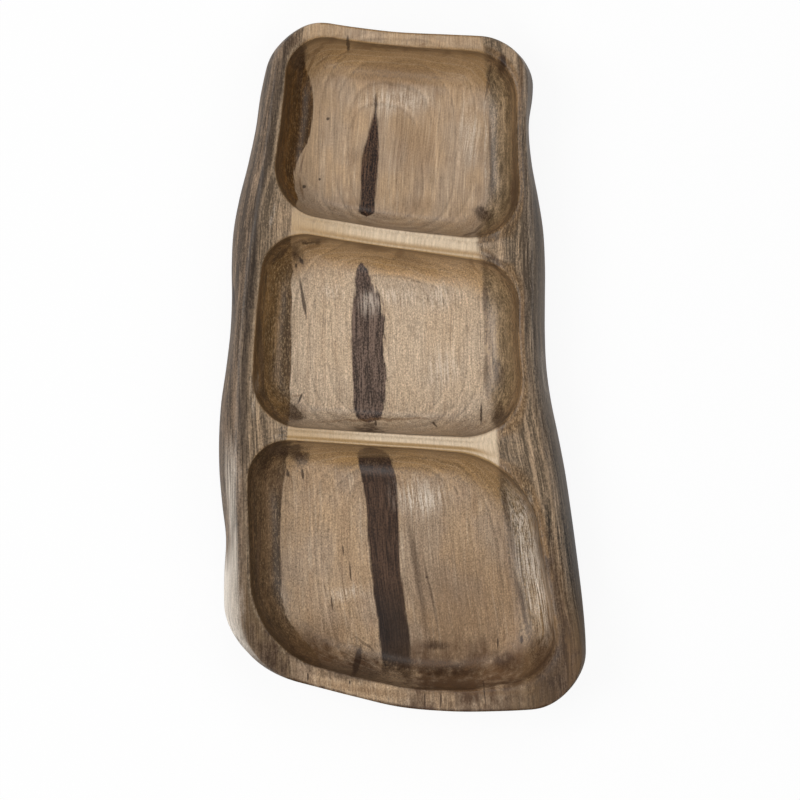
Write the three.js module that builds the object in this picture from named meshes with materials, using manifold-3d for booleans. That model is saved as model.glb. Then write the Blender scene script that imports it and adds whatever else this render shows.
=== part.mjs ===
// A long freeform snack dish carved from one block of wood, with three hollows in a row.
// Millimetres. +Z is up, +Y runs along the dish to its narrow rear end, +X is to the right.
// The origin is on the table, under the middle of the dish's outline.
import * as THREE from 'three';
import { mergeVertices } from 'three/addons/utils/BufferGeometryUtils.js';
import Module from 'manifold-3d';

// Overall sizes
const LENGTH = 400;
const WIDTH = 217;
const HEIGHT = 45;

// Outside: the natural flanks of the log on both long sides, the sawn ends and the flat base
const WIDEST_HEIGHT = 17;
const FLANK_RUN = 17;
const END_RUN = 1;
const BASE_INSET = 11;
const REAR_LEFT_RADIUS = 28;
const REAR_RIGHT_RADIUS = 24;
const FRONT_LEFT_RADIUS = 32;
const FRONT_RIGHT_RADIUS = 28;

// Rim, from the top of the flank to the edge of a hollow
const REAR_RIM_WIDTH = 7;
const REAR_LEFT_RIM_WIDTH = 5;
const REAR_RIGHT_RIM_WIDTH = 3;
const MIDDLE_LEFT_RIM_WIDTH = 6.5;
const MIDDLE_RIGHT_RIM_WIDTH = 5.5;
const FRONT_LEFT_RIM_WIDTH = 5;
const FRONT_RIGHT_RIM_WIDTH = 9;
const FRONT_RIM_WIDTH = 10.5;
const RIM_EASE = 1.5;

// Walls left standing between the hollows, measured across their tops
const REAR_DIVIDER_WIDTH = 8.5;
const FRONT_DIVIDER_WIDTH = 5.5;

// Hollows: depth below the rim, and how far each wall runs in before it meets the floor
const HOLLOW_CORNER_RADIUS = 28;
const REAR_DEPTH = 28;
const REAR_SIDE_WALL_RUN = 15;
const REAR_FAR_WALL_RUN = 20;
const REAR_NEAR_WALL_RUN = 13;
const MIDDLE_DEPTH = 29;
const MIDDLE_SIDE_WALL_RUN = 17;
const MIDDLE_FAR_WALL_RUN = 18;
const MIDDLE_NEAR_WALL_RUN = 14;
const FRONT_DEPTH = 29;
const FRONT_SIDE_WALL_RUN = 19;
const FRONT_FAR_WALL_RUN = 20;
const FRONT_NEAR_WALL_RUN = 17;
const FLOOR_DISH = 1.5;

// Stick-on bumpers under the base, set in from the sides and the ends of the outline
const PAD_THICKNESS = 2.5;
const PAD_DIAMETER = 12;
const PAD_TAPER = 1;
const PAD_SIDE_INSET = 34;
const PAD_END_INSET = 42;

// How far a cutting shape reaches past the rim
const OVERRUN = 5;

// Outline of the dish at its widest height. Side places are shares of half the width, at even
// steps from the front end to the rear end. End places are shares of half the length, at even
// steps from left to right.
const LEFT_SHARES = [
  -0.86, -0.918, -0.952, -0.969, -0.968, -0.959, -0.98, -0.997, -0.999, -0.987, -0.959,
  -0.938, -0.93, -0.931, -0.92, -0.886, -0.838, -0.797, -0.772, -0.731, -0.68,
];
const RIGHT_SHARES = [
  0.985, 0.999, 1.0, 0.988, 0.967, 0.943, 0.916, 0.888, 0.853, 0.815, 0.791,
  0.783, 0.783, 0.783, 0.773, 0.743, 0.706, 0.691, 0.714, 0.71, 0.67,
];
const FRONT_SHARES = [-0.855, -0.888, -0.922, -0.957, -0.987, -0.999, -0.999, -0.991, -0.969];
const REAR_SHARES = [1.012, 1.012, 1.006, 0.986, 0.971, 0.965, 0.957, 0.938, 0.91];

// How far the rim lies inside that outline on the two flanks, as shares of FLANK_RUN
const LEFT_RUN_SHARES = [
  0.3, 0.45, 0.63, 0.73, 0.66, 0.57, 0.66, 0.76, 0.81, 0.76, 0.62,
  0.55, 0.61, 0.74, 0.94, 1.0, 0.88, 0.76, 0.68, 0.45, 0.3,
];
const RIGHT_RUN_SHARES = [
  0.24, 0.29, 0.38, 0.53, 0.62, 0.67, 0.69, 0.72, 0.71, 0.62, 0.59,
  0.62, 0.62, 0.62, 0.59, 0.47, 0.31, 0.24, 0.38, 0.33, 0.28,
];

// Middle lines of the dividing walls from left to right, as shares of half the length
const REAR_DIVIDER_SHARES = [0.447, 0.368, 0.312];
const FRONT_DIVIDER_SHARES = [-0.182, -0.214, -0.246];

// Middles of the hollows as shares of half the width and half the length
const REAR_MIDDLE_SHARES = [-0.01, 0.667];
const MIDDLE_MIDDLE_SHARES = [-0.08, 0.083];
const FRONT_MIDDLE_SHARES = [-0.01, -0.58];

// Corners of the hollows as shares of HOLLOW_CORNER_RADIUS
const REAR_CORNER_SHARES = { frontLeft: 1.0, frontRight: 1.2, rearLeft: 0.82, rearRight: 0.9 };
const MIDDLE_CORNER_SHARES = { frontLeft: 0.96, frontRight: 1.4, rearLeft: 0.9, rearRight: 0.82 };
const FRONT_CORNER_SHARES = { frontLeft: 1.36, frontRight: 0.96, rearLeft: 0.86, rearRight: 1.4 };

// Where the dished floor has its one ring, as a share of the way out to the walls
const FLOOR_RING_SHARE = 0.5;

// How finely the curves are divided
const SIDE_STEPS = 28;
const END_STEPS = 40;
const HOLLOW_STEPS = 84;
const FLANK_STEPS = 6;
const BELLY_STEPS = 3;
const WALL_STEPS = 7;
const EASE_STEPS = 2;
const PAD_STEPS = 28;
const SEARCH_STEPS = 40;

const halfLength = LENGTH / 2;
const halfWidth = WIDTH / 2;
const quarterTurn = Math.PI / 2;

const wasm = await Module();
wasm.setup();

// Smooth curve through evenly spaced values; place runs from 0 at the first to 1 at the last.
function smoothThrough(values, place) {
  const last = values.length - 1;
  const spot = THREE.MathUtils.clamp(place, 0, 1) * last;
  const index = Math.min(Math.floor(spot), last - 1);
  const t = spot - index;
  const from = values[index];
  const to = values[index + 1];
  const startSlope = (to - values[Math.max(index - 1, 0)]) / 2;
  const endSlope = (values[Math.min(index + 2, last)] - from) / 2;
  const bend = 2 * (from - to) + startSlope + endSlope;
  return ((bend * t - bend - startSlope + to - from) * t + startSlope) * t + from;
}

const alongLength = (shares, y) => smoothThrough(shares, (y + halfLength) / LENGTH);
const acrossWidth = (shares, x) => smoothThrough(shares, (x + halfWidth) / WIDTH);

// The four edges of the dish: its outline, drawn in to the rim by a part of the flanks' run and
// then by the same inset all round.
function dishEdges(runPart, inset) {
  const runLeft = (y) => alongLength(LEFT_RUN_SHARES, y) * FLANK_RUN * runPart;
  const runRight = (y) => alongLength(RIGHT_RUN_SHARES, y) * FLANK_RUN * runPart;
  return {
    left: (y) => alongLength(LEFT_SHARES, y) * halfWidth + runLeft(y) + inset,
    right: (y) => alongLength(RIGHT_SHARES, y) * halfWidth - runRight(y) - inset,
    front: (x) => acrossWidth(FRONT_SHARES, x) * halfLength + END_RUN * runPart + inset,
    rear: (x) => acrossWidth(REAR_SHARES, x) * halfLength - END_RUN * runPart - inset,
    frontLeft: FRONT_LEFT_RADIUS,
    frontRight: FRONT_RIGHT_RADIUS,
    rearLeft: REAR_LEFT_RADIUS,
    rearRight: REAR_RIGHT_RADIUS,
  };
}

const outline = dishEdges(0, 0);
const rim = dishEdges(1, 0);

// How far a point lies outside four edges that meet in rounded corners.
function outside(x, y, edges) {
  const leftGap = edges.left(y) - x;
  const rightGap = x - edges.right(y);
  const frontGap = edges.front(x) - y;
  const rearGap = y - edges.rear(x);
  const end = frontGap > rearGap ? 'front' : 'rear';
  const side = leftGap > rightGap ? 'Left' : 'Right';
  const radius = edges[end + side];
  const across = Math.max(leftGap, rightGap) + radius;
  const along = Math.max(frontGap, rearGap) + radius;
  const corner = Math.hypot(Math.max(across, 0), Math.max(along, 0));
  return Math.min(Math.max(across, along), 0) + corner - radius;
}

// The point at which a ray meets the edges, at a given height.
function meet({ start, direction }, edges, z, spreadShare = 1) {
  let near = 0;
  let far = LENGTH;
  for (let step = 0; step < SEARCH_STEPS; step += 1) {
    const middle = (near + far) / 2;
    const x = start.x + direction.x * middle;
    const y = start.y + direction.y * middle;
    if (outside(x, y, edges) < 0) near = middle;
    else far = middle;
  }
  const { x, y } = start.clone().addScaledVector(direction, near * spreadShare);
  return new THREE.Vector3(x, y, z);
}

// Closed skin through rings of equal count, from the lowest to the highest, with a point in the
// middle of the first and the last ring.
function loft(rings, lowMiddle, highMiddle) {
  const count = rings[0].length;
  const points = [lowMiddle, ...rings.flat(), highMiddle];
  const top = points.length - 1;
  const faces = [];
  for (let step = 0; step < count; step += 1) {
    const next = (step + 1) % count;
    faces.push(0, 1 + next, 1 + step);
    for (let ring = 0; ring < rings.length - 1; ring += 1) {
      const low = 1 + ring * count;
      const high = low + count;
      faces.push(low + step, low + next, high + next, low + step, high + next, high + step);
    }
    const last = top - count;
    faces.push(last + step, last + next, top);
  }
  const geometry = new THREE.BufferGeometry().setFromPoints(points);
  geometry.setIndex(faces);
  return geometry;
}

// Rays that look for the outline: square to a middle line along the dish, then fanned out round
// the line's end, and the same on the way back.
function outlineRays() {
  const line = halfLength - halfWidth;
  const rays = [];
  for (const side of [1, -1]) {
    for (let step = 0; step < SIDE_STEPS; step += 1) {
      const y = side * line * ((2 * step) / SIDE_STEPS - 1);
      rays.push({ start: new THREE.Vector2(0, y), direction: new THREE.Vector2(side, 0) });
    }
    for (let step = 0; step < END_STEPS; step += 1) {
      const angle = (step / END_STEPS) * 2 * quarterTurn;
      const direction = new THREE.Vector2(Math.cos(angle), Math.sin(angle));
      rays.push({
        start: new THREE.Vector2(0, side * line),
        direction: direction.multiplyScalar(side),
      });
    }
  }
  return rays;
}

// The block before it is hollowed: a flat base, a rounded belly up to the widest height, and
// flanks that draw in to the rim.
function dishBlock() {
  const rays = outlineRays();
  const ringAt = (edges, z) => rays.map((ray) => meet(ray, edges, z));
  const rings = [];
  for (let step = 0; step < BELLY_STEPS; step += 1) {
    const angle = (step / BELLY_STEPS) * quarterTurn;
    const z = WIDEST_HEIGHT - (WIDEST_HEIGHT - PAD_THICKNESS) * Math.cos(angle);
    rings.push(ringAt(dishEdges(0, BASE_INSET * (1 - Math.sin(angle))), z));
  }
  for (let step = 0; step <= FLANK_STEPS; step += 1) {
    const angle = (step / FLANK_STEPS) * quarterTurn;
    const z = WIDEST_HEIGHT + (HEIGHT - WIDEST_HEIGHT) * Math.sin(angle);
    rings.push(ringAt(dishEdges(1 - Math.cos(angle), 0), z));
  }
  return loft(
    rings,
    new THREE.Vector3(0, 0, PAD_THICKNESS),
    new THREE.Vector3(0, 0, HEIGHT),
  );
}

// Edge of a hollow beside a dividing wall: the wall's middle line moved by half its width.
function dividerEdge(shares, shift) {
  return (x) => acrossWidth(shares, x) * halfLength + shift;
}

const HOLLOWS = [
  {
    middleShares: REAR_MIDDLE_SHARES,
    cornerShares: REAR_CORNER_SHARES,
    leftRim: REAR_LEFT_RIM_WIDTH,
    rightRim: REAR_RIGHT_RIM_WIDTH,
    front: dividerEdge(REAR_DIVIDER_SHARES, REAR_DIVIDER_WIDTH / 2),
    rear: (x) => rim.rear(x) - REAR_RIM_WIDTH,
    depth: REAR_DEPTH,
    sideRun: REAR_SIDE_WALL_RUN,
    farRun: REAR_FAR_WALL_RUN,
    nearRun: REAR_NEAR_WALL_RUN,
  },
  {
    middleShares: MIDDLE_MIDDLE_SHARES,
    cornerShares: MIDDLE_CORNER_SHARES,
    leftRim: MIDDLE_LEFT_RIM_WIDTH,
    rightRim: MIDDLE_RIGHT_RIM_WIDTH,
    front: dividerEdge(FRONT_DIVIDER_SHARES, FRONT_DIVIDER_WIDTH / 2),
    rear: dividerEdge(REAR_DIVIDER_SHARES, -REAR_DIVIDER_WIDTH / 2),
    depth: MIDDLE_DEPTH,
    sideRun: MIDDLE_SIDE_WALL_RUN,
    farRun: MIDDLE_FAR_WALL_RUN,
    nearRun: MIDDLE_NEAR_WALL_RUN,
  },
  {
    middleShares: FRONT_MIDDLE_SHARES,
    cornerShares: FRONT_CORNER_SHARES,
    leftRim: FRONT_LEFT_RIM_WIDTH,
    rightRim: FRONT_RIGHT_RIM_WIDTH,
    front: (x) => rim.front(x) + FRONT_RIM_WIDTH,
    rear: dividerEdge(FRONT_DIVIDER_SHARES, -FRONT_DIVIDER_WIDTH / 2),
    depth: FRONT_DEPTH,
    sideRun: FRONT_SIDE_WALL_RUN,
    farRun: FRONT_FAR_WALL_RUN,
    nearRun: FRONT_NEAR_WALL_RUN,
  },
];

// The four edges of a hollow at one height: its edge at the rim, drawn in by an inset all round
// and by a part of each wall's run.
function hollowEdges(hollow, runPart, inset) {
  const { cornerShares, leftRim, rightRim } = hollow;
  const sideIn = inset + hollow.sideRun * runPart;
  return {
    left: (y) => rim.left(y) + leftRim + sideIn,
    right: (y) => rim.right(y) - rightRim - sideIn,
    front: (x) => hollow.front(x) + inset + hollow.nearRun * runPart,
    rear: (x) => hollow.rear(x) - inset - hollow.farRun * runPart,
    frontLeft: cornerShares.frontLeft * HOLLOW_CORNER_RADIUS,
    frontRight: cornerShares.frontRight * HOLLOW_CORNER_RADIUS,
    rearLeft: cornerShares.rearLeft * HOLLOW_CORNER_RADIUS,
    rearRight: cornerShares.rearRight * HOLLOW_CORNER_RADIUS,
  };
}

// The space that one hollow takes out of the block. Its walls are quarter ellipses from an eased
// edge down to a floor that is dished a little towards its middle.
function hollowSpace(hollow) {
  const middle = new THREE.Vector2(...hollow.middleShares)
    .multiply(new THREE.Vector2(halfWidth, halfLength));
  const rays = Array.from({ length: HOLLOW_STEPS }, (_, step) => {
    const angle = (step / HOLLOW_STEPS) * 4 * quarterTurn;
    return { start: middle, direction: new THREE.Vector2(Math.cos(angle), Math.sin(angle)) };
  });
  const ringAt = (edges, z, spreadShare) => rays.map((ray) => meet(ray, edges, z, spreadShare));
  const floor = HEIGHT - hollow.depth;
  const wallTop = HEIGHT - RIM_EASE;
  const floorRingHeight = floor - FLOOR_DISH * (1 - FLOOR_RING_SHARE ** 2);
  const rings = [ringAt(hollowEdges(hollow, 1, RIM_EASE), floorRingHeight, FLOOR_RING_SHARE)];
  for (let step = WALL_STEPS; step > 0; step -= 1) {
    const angle = (step / WALL_STEPS) * quarterTurn;
    const z = wallTop - (wallTop - floor) * Math.sin(angle);
    rings.push(ringAt(hollowEdges(hollow, 1 - Math.cos(angle), RIM_EASE), z));
  }
  for (let step = EASE_STEPS; step >= 0; step -= 1) {
    const angle = (step / EASE_STEPS) * quarterTurn;
    const z = HEIGHT - RIM_EASE * (1 - Math.cos(angle));
    rings.push(ringAt(hollowEdges(hollow, 0, RIM_EASE * Math.sin(angle)), z));
  }
  rings.push(ringAt(hollowEdges(hollow, 0, 0), HEIGHT + OVERRUN));
  return loft(
    rings,
    new THREE.Vector3(middle.x, middle.y, floor - FLOOR_DISH),
    new THREE.Vector3(middle.x, middle.y, HEIGHT + OVERRUN),
  );
}

function toSolid(geometry) {
  const merged = mergeVertices(geometry);
  return new wasm.Manifold(new wasm.Mesh({
    numProp: 3,
    vertProperties: new Float32Array(merged.attributes.position.array),
    triVerts: new Uint32Array(merged.index.array),
  }));
}

function toGeometry(solid) {
  const mesh = solid.getMesh();
  const geometry = new THREE.BufferGeometry();
  geometry.setAttribute('position', new THREE.BufferAttribute(mesh.vertProperties, mesh.numProp));
  geometry.setIndex(new THREE.BufferAttribute(mesh.triVerts, 1));
  geometry.computeVertexNormals();
  return geometry;
}

function dishBody() {
  const wood = new THREE.MeshStandardMaterial({ color: 0x9a7f62, roughness: 0.55, metalness: 0 });
  let body = toSolid(dishBlock());
  for (const hollow of HOLLOWS) body = body.subtract(toSolid(hollowSpace(hollow)));
  const mesh = new THREE.Mesh(toGeometry(body), wood);
  mesh.name = 'dish_body';
  return mesh;
}

// One bumper: a flat disc, tapered at its foot.
function footPad(name, x, y) {
  const rubber = new THREE.MeshStandardMaterial({ color: 0x2b2725, roughness: 0.8, metalness: 0 });
  const radius = PAD_DIAMETER / 2;
  const profile = [
    new THREE.Vector2(0, 0),
    new THREE.Vector2(radius - PAD_TAPER, 0),
    new THREE.Vector2(radius, PAD_TAPER),
    new THREE.Vector2(radius, PAD_THICKNESS),
    new THREE.Vector2(0, PAD_THICKNESS),
  ];
  const geometry = new THREE.LatheGeometry(profile, PAD_STEPS);
  geometry.rotateX(quarterTurn);
  const mesh = new THREE.Mesh(geometry, rubber);
  mesh.name = name;
  mesh.position.set(x, y, 0);
  return mesh;
}

function footPads() {
  const frontPlace = PAD_END_INSET - halfLength;
  const rearPlace = halfLength - PAD_END_INSET;
  return [['front', frontPlace], ['rear', rearPlace]].flatMap(([end, y]) => [
    footPad(`foot_pad_${end}_left`, outline.left(y) + PAD_SIDE_INSET, y),
    footPad(`foot_pad_${end}_right`, outline.right(y) - PAD_SIDE_INSET, y),
  ]);
}

const dish = new THREE.Group();
dish.add(dishBody(), ...footPads());

export default dish;
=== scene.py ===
import math

import bmesh
import bpy
import numpy as np
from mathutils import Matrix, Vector, noise


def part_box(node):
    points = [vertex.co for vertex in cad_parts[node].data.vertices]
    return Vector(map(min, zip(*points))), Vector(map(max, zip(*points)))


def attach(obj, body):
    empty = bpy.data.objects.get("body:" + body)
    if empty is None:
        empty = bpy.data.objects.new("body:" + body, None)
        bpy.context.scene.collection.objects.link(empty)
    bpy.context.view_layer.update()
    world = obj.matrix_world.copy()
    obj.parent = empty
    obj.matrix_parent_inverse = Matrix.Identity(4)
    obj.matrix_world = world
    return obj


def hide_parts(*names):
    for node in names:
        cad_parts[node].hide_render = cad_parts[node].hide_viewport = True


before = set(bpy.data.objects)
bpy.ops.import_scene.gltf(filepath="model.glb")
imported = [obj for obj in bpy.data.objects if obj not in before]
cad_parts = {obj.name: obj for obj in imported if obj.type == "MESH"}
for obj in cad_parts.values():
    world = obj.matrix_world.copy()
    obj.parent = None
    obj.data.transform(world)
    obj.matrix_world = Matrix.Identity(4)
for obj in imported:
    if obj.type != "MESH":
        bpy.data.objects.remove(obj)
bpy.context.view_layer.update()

MM = 0.001

# Overall sizes; the heights are those of the frame's dish
LENGTH = 400
WIDTH = 217
BASE_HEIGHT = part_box("dish_body")[0].z / MM
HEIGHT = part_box("dish_body")[1].z / MM

# Outside: the natural flanks of the log on both long sides, the sawn ends and the flat base
WIDEST_HEIGHT = 17
FLANK_RUN = 17
END_RUN = 1
BASE_INSET = 11
DISH_RADII = {"front": (32, 28), "rear": (28, 24)}

# Rim and the walls left standing between the hollows
RIM_EASE = 1.5
RIGHT_EASE = 1.0
CORNER_EASE = 4.5
CORNER_PLACE = (74, -172)
CORNER_REACH = 42
RIM_CROWN = 0.5
DIVIDER_CROWN = 1.5
DIVIDER_DROP = 1.2
DIVIDER_FADE_SHARE = 0.14
REAR_DIVIDER_WIDTH = 8.5
FRONT_DIVIDER_WIDTH = 5.5
FRONT_RIM_WIDTH = 10.5
REAR_RIM_WIDTH = 7

# Hollows
HOLLOW_CORNER_RADIUS = 28
FLOOR_DISH = 1.5

# Outline at the widest height, as shares of half the width or half the length, at even steps
# from front to rear and from left to right
LEFT_SHARES = [
    -0.86, -0.918, -0.952, -0.969, -0.968, -0.959, -0.98, -0.997, -0.999, -0.987, -0.959,
    -0.938, -0.93, -0.931, -0.92, -0.886, -0.838, -0.797, -0.772, -0.731, -0.68,
]
RIGHT_SHARES = [
    0.985, 0.999, 1.0, 0.988, 0.967, 0.943, 0.916, 0.888, 0.853, 0.815, 0.791,
    0.783, 0.783, 0.783, 0.773, 0.743, 0.706, 0.691, 0.714, 0.71, 0.67,
]
FRONT_SHARES = [-0.855, -0.888, -0.922, -0.957, -0.987, -0.999, -0.999, -0.991, -0.969]
REAR_SHARES = [1.012, 1.012, 1.006, 0.986, 0.971, 0.965, 0.957, 0.938, 0.91]

# How far the rim lies inside that outline on the flanks, as shares of FLANK_RUN
LEFT_RUN_SHARES = [
    0.3, 0.45, 0.63, 0.73, 0.66, 0.57, 0.66, 0.76, 0.81, 0.76, 0.62,
    0.55, 0.61, 0.74, 0.88, 0.86, 0.7, 0.6, 0.57, 0.42, 0.3,
]
RIGHT_RUN_SHARES = [
    0.24, 0.29, 0.38, 0.53, 0.62, 0.67, 0.69, 0.72, 0.71, 0.62, 0.59,
    0.62, 0.62, 0.62, 0.59, 0.47, 0.31, 0.24, 0.38, 0.33, 0.28,
]

# Middle lines of the dividing walls from left to right, as shares of half the length
REAR_DIVIDER_SHARES = [0.447, 0.368, 0.312]
FRONT_DIVIDER_SHARES = [-0.182, -0.214, -0.246]

# Marks that the carver's tools left, and the lumps of the natural flanks
SCALLOP_DEPTH = 0.35
LEAST_SCALLOP_DEPTH = 0.14
SCALLOP_SIZE = 21
LUMP_DEPTH = 1.0
LUMP_SIZES = (26, 70, 15)
RIPPLE_DEPTH = 0.3
RIPPLE_SIZES = (9, 38, 5)
FLANK_FADE = 4
BELLY_FADE = 7

# How finely the body is divided: lengths of a step, and counts of rings
OUTLINE_STEP = 1.5
DIVIDER_STEP = 1.45
END_STEPS = 200
SEARCH_STEPS = 36
TOP_RINGS = 5
EASE_RINGS = 5
WALL_RINGS = 22
FLOOR_RINGS = 13
FLANK_RINGS = 20
BELLY_RINGS = 9
MERGE_DISTANCE = 0.002

# Zones, which count on across the surface from the widest line of the flanks at 0: the rim's
# outer edge, a hollow's lip, the top of its walls and the edge of its floor
ZONE_BORDER = 1
ZONE_LIP = 2
ZONE_WALL = 2.2
ZONE_FLOOR = 3

HALF_LENGTH = LENGTH / 2
HALF_WIDTH = WIDTH / 2
QUARTER_TURN = math.pi / 2


def smooth_through(values, place):
    """Smooth curve through evenly spaced values; place runs from 0 at the first to 1 at the last."""
    values = np.asarray(values, float)
    last = len(values) - 1
    spot = np.clip(place, 0, 1) * last
    index = np.minimum(np.floor(spot).astype(int), last - 1)
    t = spot - index
    start = values[index]
    end = values[index + 1]
    start_slope = (end - values[np.maximum(index - 1, 0)]) / 2
    end_slope = (values[np.minimum(index + 2, last)] - start) / 2
    bend = 2 * (start - end) + start_slope + end_slope
    return ((bend * t - bend - start_slope + end - start) * t + start_slope) * t + start


def smooth_step(value):
    value = np.clip(value, 0, 1)
    return value * value * (3 - 2 * value)


def along_length(shares, y):
    return smooth_through(shares, (y + HALF_LENGTH) / LENGTH)


def across_width(shares, x):
    return smooth_through(shares, (x + HALF_WIDTH) / WIDTH)


class Edges:
    """Four edges that meet in rounded corners. Each edge is a function of the other direction."""

    def __init__(self, left, right, front, rear, radii):
        self.left = left
        self.right = right
        self.front = front
        self.rear = rear
        self.radii = np.array([radii["front"], radii["rear"]], float)

    def outside(self, x, y):
        """How far a point lies outside the edges."""
        left_gap = self.left(y) - x
        right_gap = x - self.right(y)
        front_gap = self.front(x) - y
        rear_gap = y - self.rear(x)
        end = (front_gap <= rear_gap).astype(int)
        side = (left_gap <= right_gap).astype(int)
        radius = self.radii[end, side]
        across = np.maximum(left_gap, right_gap) + radius
        along = np.maximum(front_gap, rear_gap) + radius
        corner = np.hypot(np.maximum(across, 0), np.maximum(along, 0))
        return np.minimum(np.maximum(across, along), 0) + corner - radius

    def meet(self, starts, directions):
        """The points at which rays meet the edges."""
        near = np.zeros(len(directions))
        far = np.full(len(directions), float(LENGTH))
        for _ in range(SEARCH_STEPS):
            middle = (near + far) / 2
            x, y = (starts + directions * middle[:, None]).T
            inside = self.outside(x, y) < 0
            near = np.where(inside, middle, near)
            far = np.where(inside, far, middle)
        return starts + directions * near[:, None]


def dish_edges(run_part, inset):
    """The outline, drawn in to the rim by a part of the flanks' run and by an inset all round."""
    def left(y):
        run = along_length(LEFT_RUN_SHARES, y) * FLANK_RUN * run_part
        return along_length(LEFT_SHARES, y) * HALF_WIDTH + run + inset

    def right(y):
        run = along_length(RIGHT_RUN_SHARES, y) * FLANK_RUN * run_part
        return along_length(RIGHT_SHARES, y) * HALF_WIDTH - run - inset

    def front(x):
        return across_width(FRONT_SHARES, x) * HALF_LENGTH + END_RUN * run_part + inset

    def rear(x):
        return across_width(REAR_SHARES, x) * HALF_LENGTH - END_RUN * run_part - inset

    return Edges(left, right, front, rear, DISH_RADII)


RIM = dish_edges(1, 0)


def divider_line(shares, x, shift=0.0):
    return across_width(shares, x) * HALF_LENGTH + shift


class Hollow:
    """One hollow: its edge at the rim, its depth and how far its walls run in."""

    def __init__(self, middle_shares, rims, front, rear, depth, runs, corner_shares):
        self.middle = np.array([middle_shares[0] * HALF_WIDTH, middle_shares[1] * HALF_LENGTH])
        self.rims = rims
        self.front = front
        self.rear = rear
        self.depth = depth
        self.runs = runs
        self.radii = {
            end: [share * HOLLOW_CORNER_RADIUS for share in shares]
            for end, shares in corner_shares.items()
        }

    def edges(self, run_part, inset):
        left_rim, right_rim = self.rims
        side_in = inset + self.runs["side"] * run_part
        front_in = inset + self.runs["near"] * run_part
        rear_in = inset + self.runs["far"] * run_part
        return Edges(
            lambda y: RIM.left(y) + left_rim + side_in,
            lambda y: RIM.right(y) - right_rim - side_in,
            lambda x: self.front(x) + front_in,
            lambda x: self.rear(x) - rear_in,
            self.radii,
        )


REAR_HOLLOW = Hollow(
    middle_shares=(-0.01, 0.667),
    rims=(5, 3),
    front=lambda x: divider_line(REAR_DIVIDER_SHARES, x, REAR_DIVIDER_WIDTH / 2),
    rear=lambda x: RIM.rear(x) - REAR_RIM_WIDTH,
    depth=28,
    runs={"side": 15, "far": 20, "near": 13},
    corner_shares={"front": (1.0, 1.2), "rear": (0.82, 0.9)},
)
MIDDLE_HOLLOW = Hollow(
    middle_shares=(-0.08, 0.083),
    rims=(6.5, 5.5),
    front=lambda x: divider_line(FRONT_DIVIDER_SHARES, x, FRONT_DIVIDER_WIDTH / 2),
    rear=lambda x: divider_line(REAR_DIVIDER_SHARES, x, -REAR_DIVIDER_WIDTH / 2),
    depth=29,
    runs={"side": 17, "far": 18, "near": 14},
    corner_shares={"front": (0.96, 1.4), "rear": (0.9, 0.82)},
)
FRONT_HOLLOW = Hollow(
    middle_shares=(-0.01, -0.58),
    rims=(5, 9),
    front=lambda x: RIM.front(x) + FRONT_RIM_WIDTH,
    rear=lambda x: divider_line(FRONT_DIVIDER_SHARES, x, -FRONT_DIVIDER_WIDTH / 2),
    depth=29,
    runs={"side": 19, "far": 20, "near": 17},
    corner_shares={"front": (1.36, 0.96), "rear": (0.86, 1.4)},
)


def divider_end(shares, edge):
    """How far along the dish a dividing wall's middle line reaches the rim's outer edge."""
    y = divider_line(shares, 0.0)
    for _ in range(SEARCH_STEPS):
        y = divider_line(shares, edge(y))
    return float(y)


def outline_rays():
    """Rays that look for the outline, counterclockwise from the front of the right side, and the
    places in their order of the four that end on the dividing walls."""
    line = HALF_LENGTH - HALF_WIDTH
    starts = []
    directions = []
    ends = {}
    dividers = (FRONT_DIVIDER_SHARES, REAR_DIVIDER_SHARES)
    stops = {
        "right": [-line, *(divider_end(shares, RIM.right) for shares in dividers), line],
        "left": [line, *(divider_end(shares, RIM.left) for shares in dividers[::-1]), -line],
    }
    for side, sign in (("right", 1), ("left", -1)):
        for part in range(3):
            low, high = stops[side][part:part + 2]
            if part > 0:
                ends[side, part] = len(starts)
            for y in np.linspace(low, high, round(abs(high - low) / OUTLINE_STEP), endpoint=False):
                starts.append((0, y))
                directions.append((sign, 0))
        for angle in np.linspace(0, math.pi, END_STEPS, endpoint=False):
            starts.append((0, sign * line))
            directions.append((sign * math.cos(angle), sign * math.sin(angle)))
    return np.array(starts, float), np.array(directions, float), ends


def divider_points(shares, left_end, right_end):
    """Points along a dividing wall's middle line between its ends, from left to right, and how
    far its top lies below the rim at each."""
    steps = round((right_end - left_end) / DIVIDER_STEP)
    part = np.arange(1, steps) / steps
    x = left_end + (right_end - left_end) * part
    drop = DIVIDER_DROP * smooth_step(np.minimum(part, 1 - part) / DIVIDER_FADE_SHARE)
    return np.column_stack([x, divider_line(shares, x)]), drop


def add_sheet(bm, levels):
    """A sheet through closed loops of points, one loop for each level. Each point has its place
    in millimetres, its zone and its share of a divider."""
    zone_layer = bm.verts.layers.float["zone"]
    divider_layer = bm.verts.layers.float["divider"]
    count = len(levels[0])
    rows = len(levels) - 1
    grid = bmesh.ops.create_grid(bm, x_segments=count, y_segments=rows, size=1)
    for vert in grid["verts"]:
        column = round((vert.co.x + 1) / 2 * count) % count
        row = round((vert.co.y + 1) / 2 * rows)
        x, y, z, zone, divider = levels[row][column]
        vert.co = Vector((x, y, z)) * MM
        vert[zone_layer] = zone
        vert[divider_layer] = divider


def loop_at(points, z, zone, divider=0.0):
    count = len(points)
    return np.column_stack([points, *(np.broadcast_to(value, count) for value in (z, zone, divider))])


def lip_ease(lip):
    """How far the edge of a hollow is rounded: more on the right, most in the front right corner."""
    x, y = lip.T
    right = RIGHT_EASE * smooth_step(x / HALF_WIDTH * 2)
    gap = np.hypot(x - CORNER_PLACE[0], y - CORNER_PLACE[1])
    return RIM_EASE + right + CORNER_EASE * smooth_step(1 - gap / CORNER_REACH)


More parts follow.
